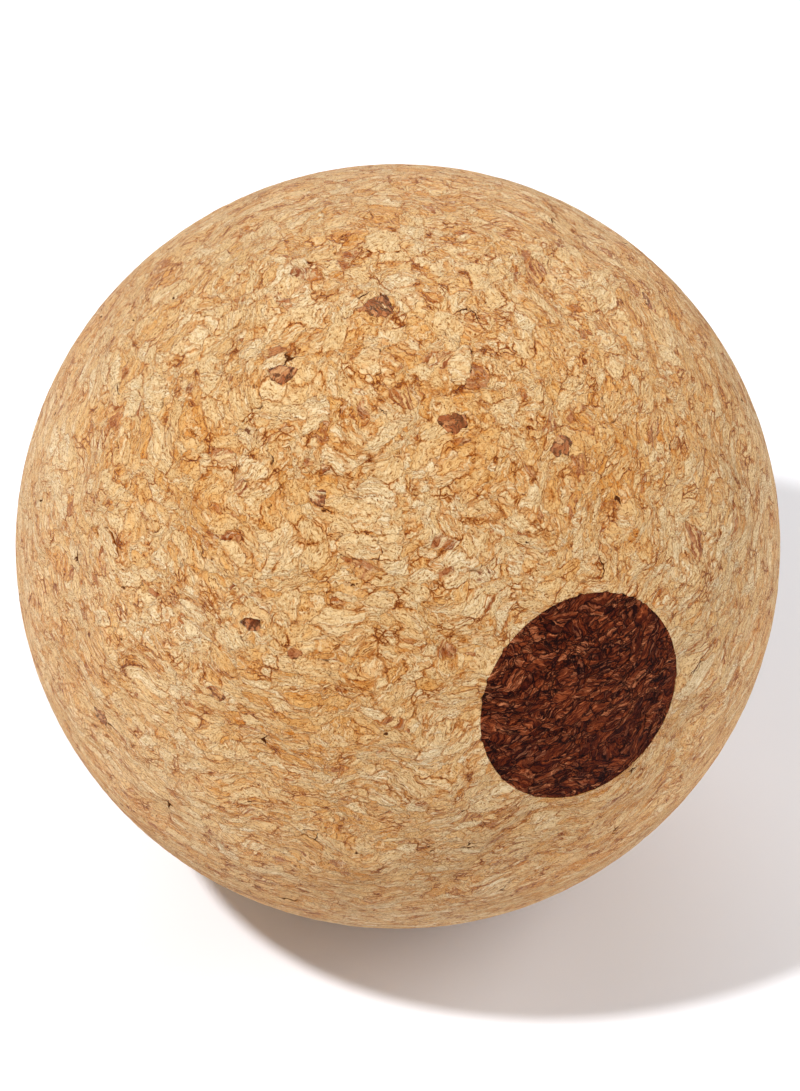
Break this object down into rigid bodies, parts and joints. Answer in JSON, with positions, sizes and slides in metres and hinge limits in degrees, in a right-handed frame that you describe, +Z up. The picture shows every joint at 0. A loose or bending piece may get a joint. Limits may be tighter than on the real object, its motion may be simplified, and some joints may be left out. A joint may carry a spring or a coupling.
{
  "type": "massage ball",
  "caption": "Solid round massage ball turned from pressed cork granules, with large flakes and bark chips showing at its surface and a round mark burnt into one side.",
  "frame": {"origin": "centre of the ball", "axes": "+Z up, as the ball lies. The burnt mark faces +X and -Y, 14 degrees above the level of the centre. The cork was pressed along an axis that leans 19 degrees from +Z towards -Y."},
  "size_m": [0.065, 0.065, 0.065],
  "materials": {
    "cork": "matte, finely ground agglomerated cork",
    "pale_cork": "matte, smooth cut cork flake",
    "bark": "matte, rough reddish bark",
    "burnt_cork": "satin, dark burnt cork with the grain showing"
  },
  "bodies": {
    "root": {"cork_body": "cork", "burnt_mark": "burnt_cork", "cork_flake_01": "pale_cork", "cork_flake_02": "pale_cork", "cork_flake_03": "pale_cork", "cork_flake_04": "pale_cork", "cork_flake_05": "pale_cork", "cork_flake_06": "pale_cork", "cork_flake_07": "pale_cork", "cork_flake_08": "pale_cork", "cork_flake_09": "pale_cork", "cork_flake_10": "pale_cork", "cork_flake_11": "pale_cork", "cork_flake_12": "pale_cork", "cork_flake_13": "pale_cork", "cork_flake_14": "pale_cork", "cork_flake_15": "pale_cork", "cork_flake_16": "pale_cork", "cork_flake_17": "pale_cork", "cork_flake_18": "pale_cork", "cork_flake_19": "pale_cork", "cork_flake_20": "pale_cork", "cork_flake_21": "pale_cork", "cork_flake_22": "pale_cork", "cork_flake_23": "pale_cork", "cork_flake_24": "pale_cork", "bark_chip_01": "bark", "bark_chip_02": "bark", "bark_chip_03": "bark", "bark_chip_04": "bark", "bark_chip_05": "bark", "bark_chip_06": "bark", "bark_chip_07": "bark", "bark_chip_08": "bark", "bark_chip_09": "bark", "bark_chip_10": "bark", "bark_chip_11": "bark", "bark_chip_12": "bark", "bark_chip_13": "bark", "bark_chip_14": "bark", "bark_chip_15": "bark", "bark_chip_16": "bark", "bark_chip_17": "bark", "bark_chip_18": "bark"}
  },
  "joints": []
}
